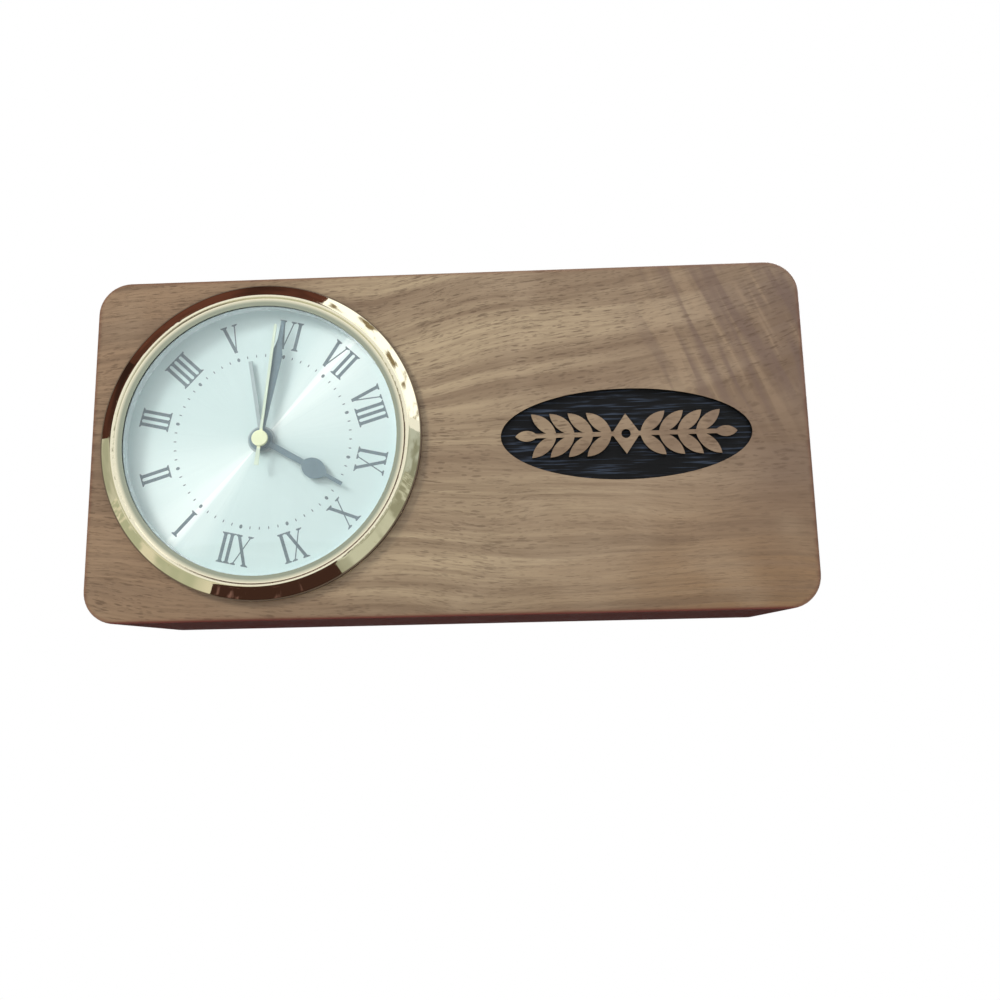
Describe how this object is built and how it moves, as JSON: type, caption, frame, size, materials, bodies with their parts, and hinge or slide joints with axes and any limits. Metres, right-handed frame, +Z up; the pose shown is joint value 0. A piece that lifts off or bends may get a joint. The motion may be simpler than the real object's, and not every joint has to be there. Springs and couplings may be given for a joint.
{
  "type": "wooden desk clock",
  "caption": "Rectangular wooden desk clock: a block with rounded corners, a round quartz alarm insert with brass bezel at the left and a sunk oval panel at the right.",
  "frame": {"origin": "middle of the block's base, midway between its front and rear faces", "axes": "+X along the block to the viewer's right, +Y from the dial side to the rear, +Z up; the dial faces -Y"},
  "size_m": [0.2032, 0.0569, 0.0995],
  "materials": {
    "walnut": "oiled",
    "brass": "polished",
    "crystal": "clear",
    "black_plastic": "moulded",
    "white_plastic": "moulded",
    "rubber": "moulded",
    "silver": "circular brushed",
    "reflector": "polished",
    "slate": "satin",
    "grey": "satin",
    "cream": "satin",
    "steel": "zinc plated",
    "ferrite": "sintered",
    "copper": "enamelled wire",
    "board": "solder mask",
    "spring_brass": "nickel plated",
    "cell": "plain sleeve"
  },
  "bodies": {
    "block": {"block": "walnut"},
    "band": {"friction_band": "rubber"},
    "insert": {"bezel": "brass", "crystal": "crystal", "case_cup": "black_plastic", "reflector_ring": "reflector", "dial": "silver", "movement_housing": "black_plastic", "rear_cover": "black_plastic", "main_plate": "white_plastic", "train_bridge": "white_plastic", "stator": "steel", "coil_bobbin": "white_plastic", "coil_winding": "copper", "circuit_board": "board", "clock_chip": "black_plastic", "quartz_resonator": "steel", "alarm_contact_strip": "spring_brass", "buzzer_disc": "spring_brass", "battery": "cell", "positive_contact": "spring_brass", "negative_contact": "spring_brass", "case_screws": "steel", "cover_screws": "steel", "bridge_screws": "steel"},
    "second_train": {"second_wheel": "white_plastic", "second_hand": "cream"},
    "rotor": {"rotor_pinion": "white_plastic", "rotor_magnet": "ferrite"},
    "intermediate": {"intermediate_wheel": "white_plastic"},
    "third": {"third_wheel": "white_plastic"},
    "minute_train": {"centre_wheel": "white_plastic", "cannon_pinion": "spring_brass", "minute_hand": "slate"},
    "motion_work": {"minute_wheel": "white_plastic"},
    "hour_train": {"hour_wheel": "white_plastic", "hour_hand": "slate"},
    "time_setting": {"time_set_shaft": "black_plastic", "time_set_knob": "white_plastic"},
    "alarm_train": {"alarm_wheel": "white_plastic", "alarm_hand": "grey"},
    "alarm_setting": {"alarm_set_shaft": "black_plastic", "alarm_set_knob": "white_plastic"},
    "switch": {"alarm_switch": "white_plastic"}
  },
  "joints": [
    {"name": "insert_pull", "type": "slide", "parent": "block", "child": "band", "axis": [0, -1, 0], "range_m": [0, 0.028]},
    {"name": "insert_turn", "type": "hinge", "parent": "band", "child": "insert", "pos_m": [-0.0524, -0.026, 0.051], "axis": [0, 1, 0], "continuous": true},
    {"name": "second_hand_spin", "type": "hinge", "parent": "insert", "child": "second_train", "pos_m": [-0.0524, -0.026, 0.051], "axis": [0, 1, 0], "continuous": true},
    {"name": "rotor_spin", "type": "hinge", "parent": "insert", "child": "rotor", "pos_m": [-0.06782, -0.026, 0.0487], "axis": [0, 1, 0], "continuous": true},
    {"name": "intermediate_spin", "type": "hinge", "parent": "insert", "child": "intermediate", "pos_m": [-0.06163, -0.026, 0.05063], "axis": [0, 1, 0], "continuous": true},
    {"name": "third_wheel_spin", "type": "hinge", "parent": "insert", "child": "third", "pos_m": [-0.05283, -0.026, 0.04183], "axis": [0, 1, 0], "continuous": true},
    {"name": "minute_hand_spin", "type": "hinge", "parent": "insert", "child": "minute_train", "pos_m": [-0.0524, -0.026, 0.051], "axis": [0, 1, 0], "continuous": true},
    {"name": "minute_wheel_spin", "type": "hinge", "parent": "insert", "child": "motion_work", "pos_m": [-0.04407, -0.026, 0.05207], "axis": [0, 1, 0], "continuous": true},
    {"name": "hour_hand_spin", "type": "hinge", "parent": "insert", "child": "hour_train", "pos_m": [-0.0524, -0.026, 0.051], "axis": [0, 1, 0], "continuous": true},
    {"name": "time_knob_spin", "type": "hinge", "parent": "insert", "child": "time_setting", "pos_m": [-0.037, -0.026, 0.04753], "axis": [0, 1, 0], "continuous": true},
    {"name": "alarm_hand_spin", "type": "hinge", "parent": "insert", "child": "alarm_train", "pos_m": [-0.0524, -0.026, 0.051], "axis": [0, 1, 0], "continuous": true},
    {"name": "alarm_knob_spin", "type": "hinge", "parent": "insert", "child": "alarm_setting", "pos_m": [-0.06007, -0.026, 0.05943], "axis": [0, 1, 0], "continuous": true},
    {"name": "alarm_switch_slide", "type": "slide", "parent": "insert", "child": "switch", "axis": [-0.2198, 0, -0.9755], "range_m": [0, 0.004]}
  ],
  "couplings": [
    {"joint": "intermediate_spin", "follows": "second_hand_spin", "ratio": -6},
    {"joint": "rotor_spin", "follows": "second_hand_spin", "ratio": 30},
    {"joint": "third_wheel_spin", "follows": "second_hand_spin", "ratio": -0.13333},
    {"joint": "minute_hand_spin", "follows": "second_hand_spin", "ratio": 0.016667},
    {"joint": "minute_wheel_spin", "follows": "second_hand_spin", "ratio": -0.0055556},
    {"joint": "hour_hand_spin", "follows": "second_hand_spin", "ratio": 0.0013889},
    {"joint": "time_knob_spin", "follows": "second_hand_spin", "ratio": 0.016667},
    {"joint": "alarm_knob_spin", "follows": "alarm_hand_spin", "ratio": -4}
  ]
}
